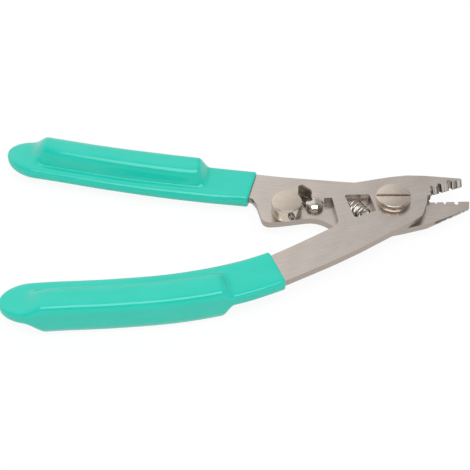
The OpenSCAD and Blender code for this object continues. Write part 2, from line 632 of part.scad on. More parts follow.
module lower_grip() color(turquoise) on_front() difference() {
    grip(lower);
    front_blank();
}

front_frame();
rear_frame();
pivot_screw();
pivot_washer();
pivot_nut();
return_spring();
stop_disc();
stop_disc_screw();
stop_screw();
lock_lever();
lock_rivet();
lever_washer();
upper_grip();
lower_grip();
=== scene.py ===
"""Looks of a fibre stripper: steel plates, turned fittings, a coil spring and moulded grips.

Sizes are in millimetres inside the classes and become metres where a mesh is made. The closed
tool's own axes are X towards the jaws, Y across the handles and Z up from the plane in which the
two plates meet, with the pivot at the origin; Half.place carries them to the model's frame.
"""

import json
import logging
import math
from dataclasses import dataclass, field
from enum import Enum
from typing import Any, Mapping, Optional, Sequence, Union

import bpy
import numpy as np
from mathutils import Matrix, Vector


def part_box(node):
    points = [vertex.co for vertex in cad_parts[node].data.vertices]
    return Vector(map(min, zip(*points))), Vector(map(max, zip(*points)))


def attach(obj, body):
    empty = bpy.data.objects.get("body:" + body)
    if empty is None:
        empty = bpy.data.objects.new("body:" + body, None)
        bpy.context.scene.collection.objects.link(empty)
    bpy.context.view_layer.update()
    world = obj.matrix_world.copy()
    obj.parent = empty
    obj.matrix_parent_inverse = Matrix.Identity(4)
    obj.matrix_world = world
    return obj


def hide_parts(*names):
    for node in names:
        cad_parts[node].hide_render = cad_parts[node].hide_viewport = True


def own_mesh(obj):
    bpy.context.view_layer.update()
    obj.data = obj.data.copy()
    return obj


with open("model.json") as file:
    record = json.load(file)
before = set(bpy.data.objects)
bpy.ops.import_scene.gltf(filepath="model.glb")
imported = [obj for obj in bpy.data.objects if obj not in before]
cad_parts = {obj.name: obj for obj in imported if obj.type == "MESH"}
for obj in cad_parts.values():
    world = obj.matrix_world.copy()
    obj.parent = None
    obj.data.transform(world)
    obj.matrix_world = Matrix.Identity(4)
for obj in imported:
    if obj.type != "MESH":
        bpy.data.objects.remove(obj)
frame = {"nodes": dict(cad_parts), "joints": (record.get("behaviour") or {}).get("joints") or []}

log = logging.getLogger("fibre_stripper")

MM = 0.001
Colour = tuple[float, float, float]
Place = tuple[float, float, float]
Number = Union[int, float]
Span = tuple[float, float]

WHITE: Colour = (1.0, 1.0, 1.0)
EVEN: Place = (1.0, 1.0, 1.0)


# ---------------------------------------------------------------- shader building


class Wire:
    """One number carried by a shader graph, which takes part in Python arithmetic."""

    def __init__(self, graph: "Graph", socket: bpy.types.NodeSocket) -> None:
        """Keep the socket that the number comes from.

        Args:
            graph: The graph that new nodes are added to.
            socket: The output that carries the number.
        """
        self.graph = graph
        self.socket = socket

    def maths(self, operation: str, *others: "Term") -> "Wire":
        """Add one Math node that starts from this number.

        Args:
            operation: The Math node's operation.
            others: The further operands, as numbers or wires.

        Returns:
            The result.
        """
        return self.graph.maths(operation, self, *others)

    def __add__(self, other: "Term") -> "Wire":
        """Sum."""
        return self.maths("ADD", other)

    def __radd__(self, other: "Term") -> "Wire":
        """Sum, reflected."""
        return self.graph.maths("ADD", other, self)

    def __sub__(self, other: "Term") -> "Wire":
        """Difference."""
        return self.maths("SUBTRACT", other)

    def __rsub__(self, other: "Term") -> "Wire":
        """Difference, reflected."""
        return self.graph.maths("SUBTRACT", other, self)

    def __mul__(self, other: "Term") -> "Wire":
        """Product."""
        return self.maths("MULTIPLY", other)

    def __rmul__(self, other: "Term") -> "Wire":
        """Product, reflected."""
        return self.graph.maths("MULTIPLY", other, self)

    def __truediv__(self, other: "Term") -> "Wire":
        """Quotient."""
        return self.maths("DIVIDE", other)

    def __abs__(self) -> "Wire":
        """Size without the sign."""
        return self.maths("ABSOLUTE")

    def swing(self, amount: Number) -> "Wire":
        """Sway about zero: the number less a half, times an amount."""
        return (self - 0.5) * amount

    def between(self, low: Number, high: Number) -> "Wire":
        """Smooth step that is 0 at low and 1 at high.

        Args:
            low: Where the step starts.
            high: Where the step ends.

        Returns:
            The step.
        """
        made = self.graph.node(
            "ShaderNodeMapRange",
            {"interpolation_type": "SMOOTHSTEP", "clamp": True},
            {"Value": self, "From Min": low, "From Max": high},
        )
        return Wire(self.graph, made.outputs[0])


Term = Union[Number, Wire]


class Graph:
    """The node graph of one material or of the world."""

    def __init__(self, tree: bpy.types.NodeTree) -> None:
        """Empty the tree so that only the nodes made here stand in it.

        Args:
            tree: The node tree to build in.
        """
        self.tree = tree
        tree.nodes.clear()

    def node(
        self,
        kind: str,
        settings: Optional[Mapping[str, Any]] = None,
        inputs: Optional[Mapping[Union[str, int], Any]] = None,
    ) -> bpy.types.Node:
        """Make one node.

        Args:
            kind: The node's type.
            settings: Its own settings, set first; "stops" holds a ramp's stops as (place, colour).
            inputs: Values, wires or sockets for its inputs, by name or by number.

        Returns:
            The node.
        """
        made = self.tree.nodes.new(kind)
        for name, value in (settings or {}).items():
            if name == "stops":
                ramp = made.color_ramp
                while len(ramp.elements) < len(value):
                    ramp.elements.new(1.0)
                for element, (place, colour) in zip(ramp.elements, value):
                    element.position = place
                    element.color = (*colour, 1.0)
            else:
                setattr(made, name, value)
        for key, value in (inputs or {}).items():
            target = made.inputs[key]
            if isinstance(value, Wire):
                self.tree.links.new(value.socket, target)
            elif isinstance(value, bpy.types.NodeSocket):
                self.tree.links.new(value, target)
            elif target.type == "RGBA" and len(value) == 3:
                target.default_value = (*value, 1.0)
            else:
                target.default_value = value
        return made

    def maths(self, operation: str, *terms: Term) -> Wire:
        """Add a Math node.

        Args:
            operation: The node's operation.
            terms: Its operands, in order.

        Returns:
            The result.
        """
        made = self.node("ShaderNodeMath", {"operation": operation}, dict(enumerate(terms)))
        return Wire(self, made.outputs[0])

    def mix(self, factor: Term, low: Any, high: Any) -> bpy.types.NodeSocket:
        """Blend two colours.

        Args:
            factor: 0 for the first colour, 1 for the second.
            low: The first colour, as three numbers or a socket.
            high: The second colour.

        Returns:
            The socket of the blended colour.
        """
        made = self.node(
            "ShaderNodeMix",
            {"data_type": "RGBA", "clamp_factor": True},
            {0: factor, 6: low, 7: high},
        )
        return made.outputs[2]

    def spot(self, name: str = "Object") -> bpy.types.NodeSocket:
        """Give one output of a Texture Coordinate node.

        Args:
            name: The output's name.

        Returns:
            The socket.
        """
        return self.node("ShaderNodeTexCoord").outputs[name]

    def laid(
        self, turn: float, grain: Place, centre: Place = (0.0, 0.0, 0.0)
    ) -> bpy.types.NodeSocket:
        """Give object coordinates turned about Z and divided by a grain size.

        Args:
            turn: Direction of the grain's first axis, in radians.
            grain: Size of one unit of the pattern along each axis, in millimetres.
            centre: Point that the pattern is centred on, in metres.

        Returns:
            The coordinates' socket.
        """
        made = self.node(
            "ShaderNodeMapping",
            {"vector_type": "TEXTURE"},
            {
                "Vector": self.spot(),
                "Location": centre,
                "Rotation": (0.0, 0.0, turn),
                "Scale": tuple(size * MM for size in grain),
            },
        )
        return made.outputs[0]

    def noise(self, where: Any, detail: float = 2.0, roughness: float = 0.5) -> Wire:
        """Give smooth noise between 0 and 1, one blob to a unit of the coordinates.

        Args:
            where: The coordinates' socket.
            detail: Number of finer layers.
            roughness: Weight of each finer layer.

        Returns:
            The noise.
        """
        made = self.node(
            "ShaderNodeTexNoise",
            {"noise_dimensions": "3D"},
            {"Vector": where, "Scale": 1.0, "Detail": detail, "Roughness": roughness},
        )
        return Wire(self, made.outputs[0])

    def parts(self, where: Any) -> list[Wire]:
        """Split a vector.

        Args:
            where: The vector's socket.

        Returns:
            Its three numbers.
        """
        made = self.node("ShaderNodeSeparateXYZ", None, {0: where})
        return [Wire(self, socket) for socket in made.outputs]

    def scaled(self, where: Any, by: Place) -> bpy.types.NodeSocket:
        """Multiply a vector by one number for each axis.

        Args:
            where: The vector's socket.
            by: The three numbers.

        Returns:
            The product's socket.
        """
        made = self.node("ShaderNodeVectorMath", {"operation": "MULTIPLY"}, {0: where, 1: by})
        return made.outputs[0]

    def facing_up(self) -> Wire:
        """Give the size of the surface normal's Z part: 1 on flat faces, 0 on walls."""
        return abs(self.parts(self.spot("Normal"))[2])

    def bumped(self, height: Wire, strength: float, distance_mm: float) -> bpy.types.NodeSocket:
        """Turn a height into a normal.

        Args:
            height: Height between 0 and 1.
            strength: Weight of the bump.
            distance_mm: Height that 1 stands for, in millimetres.

        Returns:
            The normal's socket.
        """
        made = self.node(
            "ShaderNodeBump",
            None,
            {"Strength": strength, "Distance": distance_mm * MM, "Height": height},
        )
        return made.outputs[0]


def new_material(name: str, colour: Colour) -> tuple[bpy.types.Material, Graph]:
    """Make an empty node material.

    Args:
        name: The material's name.
        colour: Its colour in the viewport.

    Returns:
        The material and its graph.
    """
    material = bpy.data.materials.new(name)
    material.use_nodes = True
    material.diffuse_color = (*colour, 1.0)
    return material, Graph(material.node_tree)


def finish_surface(graph: Graph, metallic: float, colour: Any, rough: Wire, normal: Any) -> None:
    """Add the Principled surface and the output.

    Args:
        graph: The material's graph.
        metallic: 1 for metal and 0 for vinyl.
        colour: The base colour's socket.
        rough: The roughness.
        normal: The normal's socket.
    """
    surface = graph.node(
        "ShaderNodeBsdfPrincipled",
        None,
        {"Metallic": metallic, "Base Color": colour, "Roughness": rough, "Normal": normal},
    )
    graph.node("ShaderNodeOutputMaterial", None, {"Surface": surface.outputs[0]})


# ---------------------------------------------------------------- finishes


@dataclass(frozen=True)
class Grain:
    """One noise of a finish, with how far it moves the colour and the roughness.

    Its size is that of one blob along each axis, in millimetres, and its turn is in radians
    about Z. Each finer layer has the given share of the weight of the one before.
    """

    size: Place
    turn: float = 0.0
    layers: float = 2.0
    layer_share: float = 0.5
    tone: float = 0.0
    rough: float = 0.0

    def on(self, graph: Graph, turn: float = 0.0) -> Wire:
        """Lay the noise on a piece.

        Args:
            graph: The material's graph.
            turn: Further turn about Z, in radians.

        Returns:
            The noise.
        """
        where = graph.laid(self.turn + turn, self.size)
        return graph.noise(where, self.layers, self.layer_share)


@dataclass(frozen=True)
class BrushedPlate:
    """Ground and brushed steel plate: streaks on its faces, sawn lines on its walls, which are
    painted darker as shade.

    The leaning faces of the jaws carry bright and dark strips of painted highlight and painted
    shade, and the walls of the notches between them are painted dark as shade. A bump is its
    strength and its height in millimetres.
    """

    name: str
    turn_deg: float
    pale: Colour = (0.66, 0.590, 0.540)
    dull: Colour = (0.50, 0.445, 0.405)
    # painted shade: the colour of the walls, darker than the faces
    wall_shade: Colour = (0.34, 0.292, 0.255)
    # near black for the pits, and painted shade on the notch walls in the jaws
    speck_and_notch_shade: Colour = (0.10, 0.085, 0.07)
    # painted shade and painted highlight: the dark and bright strips on the jaws' leaning faces
    strip_shade: Colour = (0.16, 0.135, 0.12)
    glint: Colour = (0.80, 0.74, 0.68)
    hair: Grain = Grain((5.0, 0.10, 1.0), 0.0, 3.0, 0.6, tone=0.9, rough=0.20)
    streak: Grain = Grain((11.0, 0.55, 3.0), tone=0.8)
    cloud: Grain = Grain((9.0, 5.0, 9.0), 0.5, tone=0.7, rough=0.10)
    sawn: Grain = Grain((2.5, 2.5, 0.16), 0.0, 3.0, 0.6, tone=1.2)
    strip: Grain = Grain((0.8, 40.0, 40.0), layers=1.0)
    strip_step: Span = (0.36, 0.60)
    pit_mm: Place = (9.0, 5.0, 7.0)
    pit_step: Span = (0.015, 0.05)
    pit_share: float = 0.8
    # how far the notch walls are painted towards near black as shade
    notch_shade_share: float = 0.85
    flat_step: Span = (0.50, 0.78)
    leaning_from: Span = (0.30, 0.44)
    leaning_to: Span = (0.58, 0.72)
    jaws_m: Span = (0.0685, 0.0695)
    face_tone: float = 0.5
    wall_tone: float = 0.35
    roughness: float = 0.27
    wall_rough: float = 0.10
    bump: Span = (0.35, 0.02)

    def material(self) -> bpy.types.Material:
        """Build the material.

        The face colour follows three noises stretched along the brushing: hair lines, broader
        streaks and soft clouds, with a few pits at the middles of large cells. The mask of the
        walls is a smooth step on the normal's Z part, and the walls are painted darker as shade.
        Beyond the step on X that starts the jaws, walls whose normal's Z part lies between two
        steps carry bright and dark strips of painted highlight and painted shade, which change
        along the brushing, and the other walls are darkened as painted shade.

        Returns:
            The material.
        """
        made, graph = new_material(self.name, self.pale)
        turn = math.radians(self.turn_deg)
        hair = self.hair.on(graph, turn)
        streak = self.streak.on(graph, turn)
        cloud = self.cloud.on(graph, turn)
        sawn = self.sawn.on(graph)
        facing = graph.facing_up()
        walls = 1.0 - facing.between(*self.flat_step)
        tone = (
            self.face_tone
            + hair.swing(self.hair.tone)
            + streak.swing(self.streak.tone)
            + cloud.swing(self.cloud.tone)
        )
        face = graph.mix(tone, self.dull, self.pale)
        cells = graph.node(
            "ShaderNodeTexVoronoi",
            {"feature": "F1"},
            {"Vector": graph.laid(turn, self.pit_mm), "Scale": 1.0},
        )
        pit = 1.0 - Wire(graph, cells.outputs[0]).between(*self.pit_step)
        face = graph.mix(pit * self.pit_share, face, self.speck_and_notch_shade)
        # painted shade: walls take a darker colour than the faces, over their sawn grain
        edge = graph.mix(self.wall_tone + sawn.swing(self.sawn.tone), self.wall_shade, self.dull)
        ground = facing.between(*self.leaning_from) * (1.0 - facing.between(*self.leaning_to))
        in_jaws = graph.parts(graph.spot())[0].between(*self.jaws_m)
        # painted shade: the other walls in the jaws, the notch walls, go towards near black
        edge = graph.mix(in_jaws * (1.0 - ground) * self.notch_shade_share, edge, self.speck_and_notch_shade)
        # painted highlight and painted shade: bright and dark strips on the jaws' leaning faces
        highlight_bands = self.strip.on(graph, turn).between(*self.strip_step)
        edge = graph.mix(in_jaws * ground, edge, graph.mix(highlight_bands, self.strip_shade, self.glint))
        rough = (
            self.roughness
            + hair.swing(self.hair.rough)
            + cloud.swing(self.cloud.rough)
            + walls * self.wall_rough
        )
        height = hair * (1.0 - walls) + sawn * walls
        normal = graph.bumped(height, *self.bump)
        finish_surface(graph, 1.0, graph.mix(walls, face, edge), rough, normal)
        return made


@dataclass(frozen=True)
class TurnedNickel:
    """Nickel-plated steel turned on a lathe: fine rings about an axis."""

    name: str
    centre: Place
    pale: Colour = (0.67, 0.585, 0.50)
    dull: Colour = (0.47, 0.405, 0.34)
    roughness: float = 0.27
    ring_mm: float = 0.11
    ring_layers: float = 3.0
    ring_layer_share: float = 0.6
    ring_tone: float = 0.7
    ring_rough: float = 0.12
    cloud: Grain = Grain((2.2, 2.2, 2.2), tone=0.5, rough=0.06)
    flat_step: Span = (0.20, 0.45)
    tone: float = 0.55
    bump: Span = (0.22, 0.012)

    def material(self) -> bpy.types.Material:
        """Build the material.

        Two noises make the rings. One is read along the distance from the axis and circles the
        faces, the other is read along the height and runs round the walls, and a smooth step
        on the normal's Z part blends them.

        Returns:
            The material.
        """
        made, graph = new_material(self.name, self.pale)
        away = graph.scaled(graph.laid(0.0, EVEN, self.centre), (1.0, 1.0, 0.0))
        length = graph.node("ShaderNodeVectorMath", {"operation": "LENGTH"}, {0: away})
        reach = Wire(graph, length.outputs[1])
        height = graph.parts(graph.laid(0.0, EVEN))[2]
        flat = graph.facing_up().between(*self.flat_step)
        on_faces, on_walls = (
            graph.noise(
                graph.node("ShaderNodeCombineXYZ", None, {axis: run / self.ring_mm}).outputs[0],
                self.ring_layers,
                self.ring_layer_share,
            )
            for axis, run in enumerate((reach, height))
        )
        rings = on_faces * flat + on_walls * (1.0 - flat)
        cloud = self.cloud.on(graph)
        tone = self.tone + rings.swing(self.ring_tone) + cloud.swing(self.cloud.tone)
        rough = self.roughness + rings.swing(self.ring_rough) + cloud.swing(self.cloud.rough)
        normal = graph.bumped(rings, *self.bump)
        finish_surface(graph, 1.0, graph.mix(tone, self.dull, self.pale), rough, normal)
        return made


@dataclass(frozen=True)
class SheetSteel:
    """Pressed and barrel-polished sheet steel, with short scratches in every direction."""

    name: str
    pale: Colour = (0.40, 0.365, 0.32)
    dull: Colour = (0.22, 0.20, 0.175)
    roughness: float = 0.24
    scratch: Grain = Grain((1.6, 0.09, 0.6), 0.6, 3.0, 0.6, tone=0.7, rough=0.10)
    crossing: Grain = Grain((1.3, 0.11, 0.6), -0.9, 3.0, 0.6, tone=0.6)
    cloud: Grain = Grain((1.7, 1.7, 1.7), tone=0.9, rough=0.14)
    tone: float = 0.5
    bump: Span = (0.25, 0.012)

    def material(self) -> bpy.types.Material:
        """Build the material: two crossed scratch noises over a soft cloud.

        Returns:
            The material.
        """
        made, graph = new_material(self.name, self.pale)
        scratch = self.scratch.on(graph)
        crossing = self.crossing.on(graph)
        cloud = self.cloud.on(graph)
        tone = (
            self.tone
            + scratch.swing(self.scratch.tone)
            + crossing.swing(self.crossing.tone)
            + cloud.swing(self.cloud.tone)
        )
        rough = self.roughness + cloud.swing(self.cloud.rough) + scratch.swing(self.scratch.rough)
        normal = graph.bumped(scratch + crossing, *self.bump)
        finish_surface(graph, 1.0, graph.mix(tone, self.dull, self.pale), rough, normal)
        return made


@dataclass(frozen=True)
class DrawnWire:
    """Spring wire, bright from drawing, with lines along its length."""

    name: str
    pale: Colour = (0.70, 0.64, 0.57)
    dull: Colour = (0.40, 0.36, 0.32)
    repeats: Place = (40.0, 14.0, 1.0)
    tone: float = 0.55
    tone_swing: float = 1.2
    roughness: float = 0.24
    rough_swing: float = 0.2
    bump: Span = (0.2, 0.01)

    def material(self) -> bpy.types.Material:
        """Build the material: noise stretched along the wire through its own UV map.

        Returns:
            The material.
        """
        made, graph = new_material(self.name, self.pale)
        lines = graph.noise(graph.scaled(graph.spot("UV"), self.repeats))
        tone = self.tone + lines.swing(self.tone_swing)
        rough = self.roughness + lines.swing(self.rough_swing)
        normal = graph.bumped(lines, *self.bump)
        finish_surface(graph, 1.0, graph.mix(tone, self.dull, self.pale), rough, normal)
        return made


@dataclass(frozen=True)
class DippedVinyl:
    """Glossy soft vinyl as it comes from the mould: faint ripples, clouds and scuffs."""

    name: str
    fresh: Colour = (0.007, 0.475, 0.365)
    chalky: Colour = (0.018, 0.505, 0.395)
    scuffed: Colour = (0.006, 0.380, 0.290)
    cloud: Grain = Grain((16.0, 7.0, 7.0), 0.15, 3.0, 0.55, rough=0.08)
    peel: Grain = Grain((1.1, 1.1, 1.1), rough=0.05)
    ripple: Grain = Grain((7.0, 4.0, 4.0), 0.1, 1.0)
    scrape: Grain = Grain((4.5, 0.35, 1.5), 0.4, 3.0, 0.6)
    scrape_step: Span = (0.66, 0.80)
    scuffed_step: Span = (0.50, 0.66)
    chalky_step: Span = (0.30, 0.75)
    chalky_share: float = 0.6
    scuffed_share: float = 0.45
    roughness: float = 0.18
    scuff_rough: float = 0.15
    peel_share: float = 0.25
    bump: Span = (0.25, 0.08)

    def material(self) -> bpy.types.Material:
        """Build the material.

        Colour drifts between a fresh and a chalky tone in soft clouds, with rare scuffs; the
        bump is a fine orange peel over a broad ripple.

        Returns:
            The material.
        """
        made, graph = new_material(self.name, self.fresh)
        cloud = self.cloud.on(graph)
        peel = self.peel.on(graph)
        ripple = self.ripple.on(graph)
        scrape = self.scrape.on(graph)
        scuff = scrape.between(*self.scrape_step) * cloud.between(*self.scuffed_step)
        chalk = cloud.between(*self.chalky_step) * self.chalky_share
        base = graph.mix(chalk, self.fresh, self.chalky)
        rough = (
            self.roughness
            + cloud.swing(self.cloud.rough)
            + peel.swing(self.peel.rough)
            + scuff * self.scuff_rough
        )
        colour = graph.mix(scuff * self.scuffed_share, base, self.scuffed)
        normal = graph.bumped(peel * self.peel_share + ripple, *self.bump)
        finish_surface(graph, 0.0, colour, rough, normal)
        return made


# ---------------------------------------------------------------- meshes


def surface_piece(
    name: str,
    points: np.ndarray,
    uv: Optional[np.ndarray] = None,
) -> bpy.types.Object:
    """Make a closed object from rings of points, each ring closed round and both ends capped.

    Point (i, k) joins (i, k + 1) and (i + 1, k); each end ring is closed by a fan to its mean
    point. If the signed volume (a sixth of the sum of each triangle's triple product) is
    negative, every face is turned over.

    Args:
        name: The object's name.
        points: Array (rings, around, 3), in metres.
        uv: Optional array (rings, around, 2) of pattern coordinates.

    Returns:
        The object, at the origin.
    """
    rings, around = points.shape[:2]
    body = points.reshape(-1, 3)
    verts = np.vstack([body, points[0].mean(axis=0), points[-1].mean(axis=0)])
    i, k = np.meshgrid(np.arange(rings - 1), np.arange(around), indexing="ij")
    right = (k + 1) % around
    quads = np.stack(
        [i * around + k, (i + 1) * around + k, (i + 1) * around + right, i * around + right], -1
    ).reshape(-1, 4)
    ring = np.arange(around)
    after = (ring + 1) % around
    first, last = rings * around, rings * around + 1
    base = (rings - 1) * around
    caps = np.vstack(
        [
            np.stack([np.full(around, first), ring, after], -1),
            np.stack([np.full(around, last), base + after, base + ring], -1),
        ]
    )
    tris = np.vstack([quads[:, [0, 1, 2]], quads[:, [0, 2, 3]], caps])
    a, b, c = verts[tris[:, 0]], verts[tris[:, 1]], verts[tris[:, 2]]
    if np.einsum("ij,ij->i", a, np.cross(b, c)).sum() < 0.0:
        quads, caps = quads[:, ::-1], caps[:, ::-1]
    loops = np.concatenate([quads.ravel(), caps.ravel()]).astype(np.int32)
    counts = np.concatenate([np.full(len(quads), 4), np.full(len(caps), 3)]).astype(np.int32)
    starts = np.concatenate([[0], np.cumsum(counts)[:-1]]).astype(np.int32)
    mesh = bpy.data.meshes.new(name)
    mesh.vertices.add(len(verts))
    mesh.loops.add(len(loops))
    mesh.polygons.add(len(counts))
    mesh.vertices.foreach_set("co", verts.astype(np.float32).ravel())
    mesh.loops.foreach_set("vertex_index", loops)
    mesh.polygons.foreach_set("loop_start", starts)
    mesh.polygons.foreach_set("use_smooth", np.ones(len(counts), dtype=bool))
    mesh.update(calc_edges=True)
    mesh.validate()
    if uv is not None:
        flat = np.vstack([uv.reshape(-1, 2), uv[0].mean(axis=0), uv[-1].mean(axis=0)])
        layer = mesh.uv_layers.new(name="along")
        used = np.empty(len(mesh.loops), dtype=np.int32)
        mesh.loops.foreach_get("vertex_index", used)
        layer.data.foreach_set("uv", flat[used].astype(np.float32).ravel())
    made = bpy.data.objects.new(name, mesh)
    bpy.context.scene.collection.objects.link(made)
    return made


def eased(t: np.ndarray) -> np.ndarray:
    """Smooth step: 3 t squared less 2 t cubed, with t held between 0 and 1."""
    held = np.clip(t, 0.0, 1.0)
    return held * held * (3.0 - 2.0 * held)


def pivot_joint() -> Mapping[str, Any]:
    """Give the frame's record of the joint that the handles turn on."""
    return next(joint for joint in frame["joints"] if joint["name"] == "handle_pivot")


class Half(Enum):
    """The two halves of the tool, with the side that each is swung to when it is open."""

    FRONT = 1.0
    REAR = -1.0

    def place(self, points: np.ndarray) -> np.ndarray:
        """Carry points from the closed tool to the model, half of the swing each way.

        Each point is turned about the pivot axis by half the joint's range, then moved to the
        pivot's place.

        Args:
            points: Array (..., 3) in millimetres, in the closed tool's axes.

        Returns:
            The points in metres, in the model's frame.
        """
        joint = pivot_joint()
        turn = self.value * math.radians(joint["range_deg"][1]) / 2.0
        c, s = math.cos(turn), math.sin(turn)
        spin = np.array([[c, s, 0.0], [-s, c, 0.0], [0.0, 0.0, 1.0]])
        return points @ spin * MM + np.asarray(joint["pos_m"])

    def direction(self, vector: Sequence[float]) -> Place:
        """Turn a direction in the same way, without moving it.

        Args:
            vector: The direction in the closed tool's axes.

        Returns:
            The unit direction in the model's frame.
        """
        ends = self.place(np.array([[0.0, 0.0, 0.0], list(vector)]))
        out = ends[1] - ends[0]
        return tuple(float(v) for v in out / np.linalg.norm(out))


# ---------------------------------------------------------------- the tool


@dataclass
class SteelNodes:
    """CAD nodes that keep their shape and get softened edges and a steel finish."""

    edge_mm: float = 0.12
    edge_steps: int = 2
    sharp_deg: float = 34.0
    weld_m: float = 2e-6
    flat_deg: float = 0.6

    def soften(
        self, node: str, edge_mm: Optional[float] = None, turned: bool = False
    ) -> bpy.types.Object:
        """Weld a CAD node's loose triangles, dissolve flat seams and round its sharp edges.

        Args:
            node: The node's name.
            edge_mm: Width of the rounding, where it isn't the usual one.
            turned: True for a part off the lathe, whose walls are shaded smooth.

        Returns:
            The node's object.
        """
        piece = frame["nodes"][node]
        weld = piece.modifiers.new("weld", "WELD")
        weld.merge_threshold = self.weld_m
        flat = piece.modifiers.new("flat", "DECIMATE")
        flat.decimate_type = "DISSOLVE"
        flat.angle_limit = math.radians(self.flat_deg)
        if turned:
            piece.modifiers.new("round", "NODES").node_group = self.smoothing()
        bevel = piece.modifiers.new("edges", "BEVEL")
        bevel.width = (edge_mm or self.edge_mm) * MM
        bevel.segments = self.edge_steps
        bevel.limit_method = "ANGLE"
        bevel.angle_limit = math.radians(self.sharp_deg)
        bevel.use_clamp_overlap = True
        bevel.harden_normals = True
        return piece

    def smoothing(self) -> bpy.types.NodeTree:
        """Give the node group that shades every face smooth, made once.

        Returns:
            The group.
        """
        found = bpy.data.node_groups.get("shade_smooth")
        if found is not None:
            return found
        group = bpy.data.node_groups.new("shade_smooth", "GeometryNodeTree")
        for way in ("INPUT", "OUTPUT"):
            group.interface.new_socket("Geometry", in_out=way, socket_type="NodeSocketGeometry")
        entry = group.nodes.new("NodeGroupInput")
        leave = group.nodes.new("NodeGroupOutput")
        smooth = group.nodes.new("GeometryNodeSetShadeSmooth")
        group.links.new(entry.outputs[0], smooth.inputs[0])
        group.links.new(smooth.outputs[0], leave.inputs[0])
        return group

    def axis_of(self, node: str) -> Place:
        """Give the point at height 0 under the middle of a node's box."""
        low, high = (Vector(corner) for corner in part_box(node))
        middle = (low + high) / 2.0
        return middle.x, middle.y, 0.0

    def dress(self, piece: bpy.types.Object, material: bpy.types.Material) -> None:
        """Put one material on every slot of a piece.

        Args:
            piece: The object.
            material: Its finish.
        """
        piece.data.materials.clear()
        piece.data.materials.append(material)


@dataclass
class Plates(SteelNodes):
    """The two crossing plates with their jaws."""

    edge_mm: float = 0.2
    grain_deg: dict[str, float] = field(
        default_factory=lambda: {"front_frame": 14.0, "rear_frame": -9.0}
    )

    def build(self) -> None:
        """Round the plates' edges and brush them along their handles."""
        for node, turn in self.grain_deg.items():
            piece = self.soften(node)
            self.dress(piece, BrushedPlate(f"brushed_{node}", turn).material())
            log.info("plate %s brushed at %.0f degrees", node, turn)


@dataclass
class TurnedParts(SteelNodes):
    """Screws, nut, washers, disc and rivet: each is turned about its own upright axis."""

    nodes: tuple[str, ...] = (
        "pivot_screw",
        "pivot_washer",
        "pivot_nut",
        "stop_disc",
        "stop_disc_screw",
        "lever_washer",
    )
    edge_mm: float = 0.10

    def build(self) -> None:
        """Round each part's edges and give it rings about its own middle."""
        for node in self.nodes:
            axis = self.axis_of(node)
            piece = self.soften(node, turned=True)
            self.dress(piece, TurnedNickel(f"turned_{node}", axis).material())
            log.info("turned part %s", node)


@dataclass
class LockParts(SteelNodes):
    """The thumb lever, its domed rivet and the set screw of the stop."""

    edge_mm: float = 0.09
    fine_edge_mm: float = 0.06

    def build(self) -> None:
        """Dress the lever as pressed sheet, the rivet as polished and the set screw as dark."""
        lever = self.soften("lock_lever")
        self.dress(lever, SheetSteel("pressed_lever").material())
        axis = self.axis_of("lock_rivet")
        rivet = self.soften("lock_rivet", self.fine_edge_mm, turned=True)
        polished = TurnedNickel(
            "polished_rivet",
            axis,
            pale=(0.62, 0.58, 0.51),
            dull=(0.50, 0.46, 0.40),
            roughness=0.15,
            ring_mm=0.5,
        )
        self.dress(rivet, polished.material())
        screw = self.soften("stop_screw", self.fine_edge_mm)
        self.dress(screw, SheetSteel("set_screw_steel", roughness=0.22).material())
        log.info("lock parts dressed")


@dataclass
class ReturnSpring:
    """Compression spring leaning from the peg in the front window to the rear plate's window."""

    outer_d: float = 5.8
    wire_d: float = 0.8
    coils: float = 4.25
    closed_coils: float = 0.75
    closed_lead: float = 1.05
    foot: Place = (-11.8, -4.17, 1.32)
    seat: Place = (-13.35, 3.8, -1.32)
    phase_deg: float = 60.0
    squeezed_to: float = 0.48
    steps_per_coil: int = 48
    sides: int = 16

    def build(self) -> bpy.types.Object:
        """Sweep the wire along its helix.

        The centre line is (r cos a, r sin a, lead), where a grows evenly and the lead climbs
        little more than one wire per turn in the closed end coils and evenly between them. Each
        ring is a circle in the plane of the two unit vectors square to the helix's tangent. The
        coil is then turned about its own axis by its phase, and tipped so that the axis runs
        from foot to seat.

        Returns:
            The spring.
        """
        lean = np.array(self.seat) - np.array(self.foot)
        length = float(np.linalg.norm(lean))
        t = np.linspace(0.0, self.coils, int(self.coils * self.steps_per_coil) + 1)
        r = (self.outer_d - self.wire_d) / 2.0
        close = self.wire_d * self.closed_lead * self.closed_coils
        lead = self.wire_d / 2.0 + np.interp(
            t,
            [0.0, self.closed_coils, self.coils - self.closed_coils, self.coils],
            [0.0, close, length - self.wire_d - close, length - self.wire_d],
        )
        angle = 2.0 * math.pi * t
        line = np.stack([r * np.cos(angle), r * np.sin(angle), lead], -1)
        tangent = np.gradient(line, axis=0)
        tangent /= np.linalg.norm(tangent, axis=1, keepdims=True)
        side = np.cross(tangent, [0.0, 0.0, 1.0])
        side /= np.linalg.norm(side, axis=1, keepdims=True)
        up = np.cross(side, tangent)
        around = np.linspace(0.0, 2.0 * math.pi, self.sides, endpoint=False)
        rings = line[:, None] + self.wire_d / 2.0 * (
            np.cos(around)[None, :, None] * side[:, None]
            + np.sin(around)[None, :, None] * up[:, None]
        )
        tip = (
            Matrix.Rotation(math.atan2(lean[1], lean[0]), 3, "Z")
            @ Matrix.Rotation(math.acos(lean[2] / length), 3, "Y")
            @ Matrix.Rotation(math.radians(self.phase_deg), 3, "Z")
        )
        placed = rings @ np.array(tip).T + np.array(self.foot)
        uv = np.stack(np.meshgrid(t / self.coils, around / (2.0 * math.pi), indexing="ij"), -1)
        piece = surface_piece("coil_spring", Half.FRONT.place(placed), uv)
        piece.data.materials.append(DrawnWire("drawn_wire").material())
        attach(piece, "rear_half")
        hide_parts("return_spring")
        anchor = Half.FRONT.place(np.array([self.seat]))[0]
        Half.FRONT.direction((lean[0], lean[1], 0.0))
        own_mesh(piece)
        log.info("spring with %d rings", len(t))
        return piece


